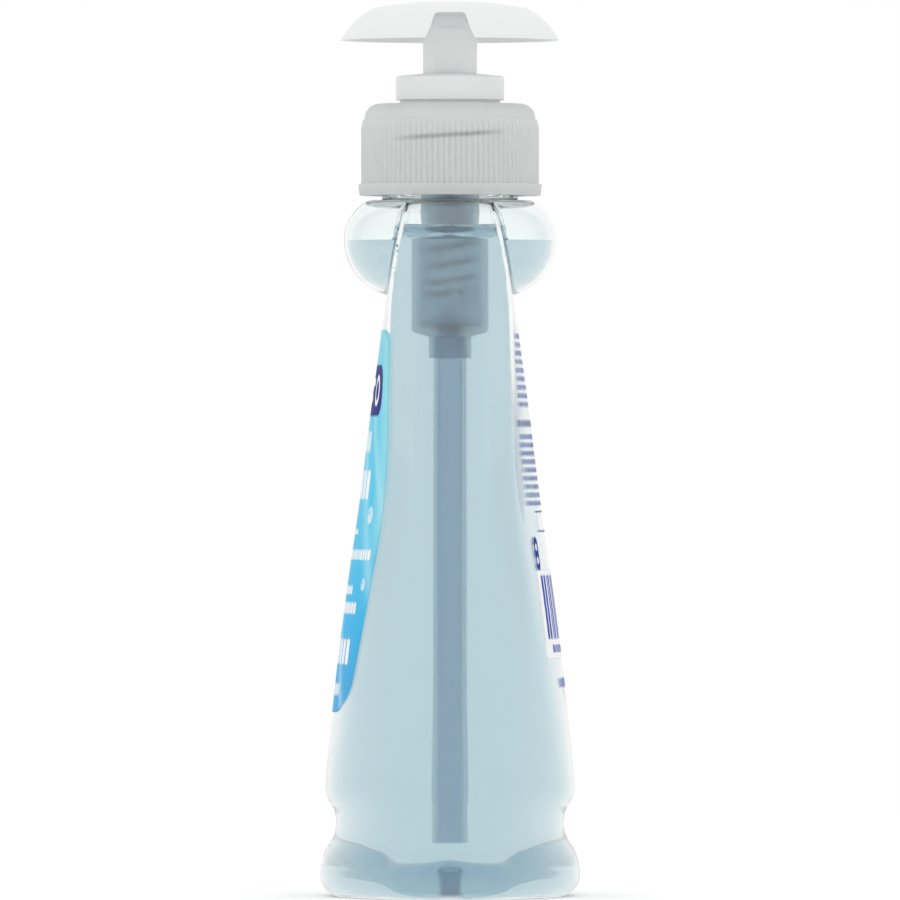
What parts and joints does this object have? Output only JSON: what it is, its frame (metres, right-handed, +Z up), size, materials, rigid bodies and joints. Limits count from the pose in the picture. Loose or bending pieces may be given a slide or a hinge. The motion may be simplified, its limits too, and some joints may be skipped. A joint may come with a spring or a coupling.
{
  "type": "hand soap pump bottle",
  "caption": "Clear blown bottle of liquid soap with a ball shoulder and bowed labelled faces, closed by a ribbed screw-on pump with a wide domed press cap and a side spout.",
  "frame": {"origin": "middle of the foot, on the plane that the bottle stands on", "axes": "+Z up along the pump's stem; front label towards -X, back label towards +X, spout towards +Y"},
  "size_m": [0.0511, 0.065, 0.175],
  "materials": {
    "clear_pet": "clear stretch-blown PET, glossy, colourless",
    "liquid_soap": "clear pale blue-grey liquid soap",
    "front_label_film": "printed glossy film, cyan to blue fields",
    "back_label_film": "clear film printed with pale panel and dark blue bars",
    "natural_polypropylene": "moulded natural polypropylene, slightly see-through, fine ribs",
    "white_polypropylene": "moulded white polypropylene, satin",
    "natural_polypropylene_cylinder": "moulded natural polypropylene, milky",
    "tube_polyethylene": "extruded natural polyethylene, milky",
    "gasket_foam": "die-cut polyethylene foam",
    "seal_polyethylene": "moulded low-density polyethylene",
    "steel_ball": "ground stainless steel ball",
    "spring_steel": "drawn stainless spring wire"
  },
  "bodies": {
    "bottle_body": {"bottle": "clear_pet", "liquid_soap": "liquid_soap", "front_label": "front_label_film", "back_label": "back_label_film"},
    "pump": {"pump_cylinder": "natural_polypropylene_cylinder", "pump_collar": "white_polypropylene", "neck_gasket": "gasket_foam", "dip_tube": "tube_polyethylene", "ball_cage": "natural_polypropylene_cylinder", "return_spring": "spring_steel"},
    "closure": {"screw_closure": "natural_polypropylene"},
    "piston": {"piston_seal": "seal_polyethylene"},
    "head": {"pump_stem": "white_polypropylene", "seal_retainer": "natural_polypropylene_cylinder", "spout_column": "white_polypropylene", "press_cap": "white_polypropylene"},
    "inlet_valve": {"inlet_ball": "steel_ball"},
    "outlet_valve": {"outlet_ball": "steel_ball"}
  },
  "joints": [
    {"name": "pump_rise", "type": "slide", "parent": "bottle_body", "child": "pump", "axis": [0, 0, 1], "range_m": [0, 0.00635]},
    {"name": "closure_turn", "type": "hinge", "parent": "pump", "child": "closure", "pos_m": [0, 0, 0.145], "axis": [0, 0, 1], "range_deg": [0, 540]},
    {"name": "press", "type": "slide", "parent": "pump", "child": "piston", "axis": [0, 0, -1], "range_m": [0, 0.0065], "stiffness_N_per_m": 600, "springref_m": -0.006, "deforming": ["return_spring"]},
    {"name": "head_swivel", "type": "hinge", "parent": "piston", "child": "head", "pos_m": [0, 0, 0.16], "axis": [0, 0, 1], "continuous": true},
    {"name": "inlet_ball_lift", "type": "slide", "parent": "pump", "child": "inlet_valve", "axis": [0, 0, 1], "range_m": [0, 0.00095]},
    {"name": "outlet_ball_lift", "type": "slide", "parent": "head", "child": "outlet_valve", "axis": [0, 0, 1], "range_m": [0, 0.00095]}
  ],
  "couplings": [
    {"joint": "closure_turn", "follows": "pump_rise", "rad_per_m": 1484.3}
  ]
}
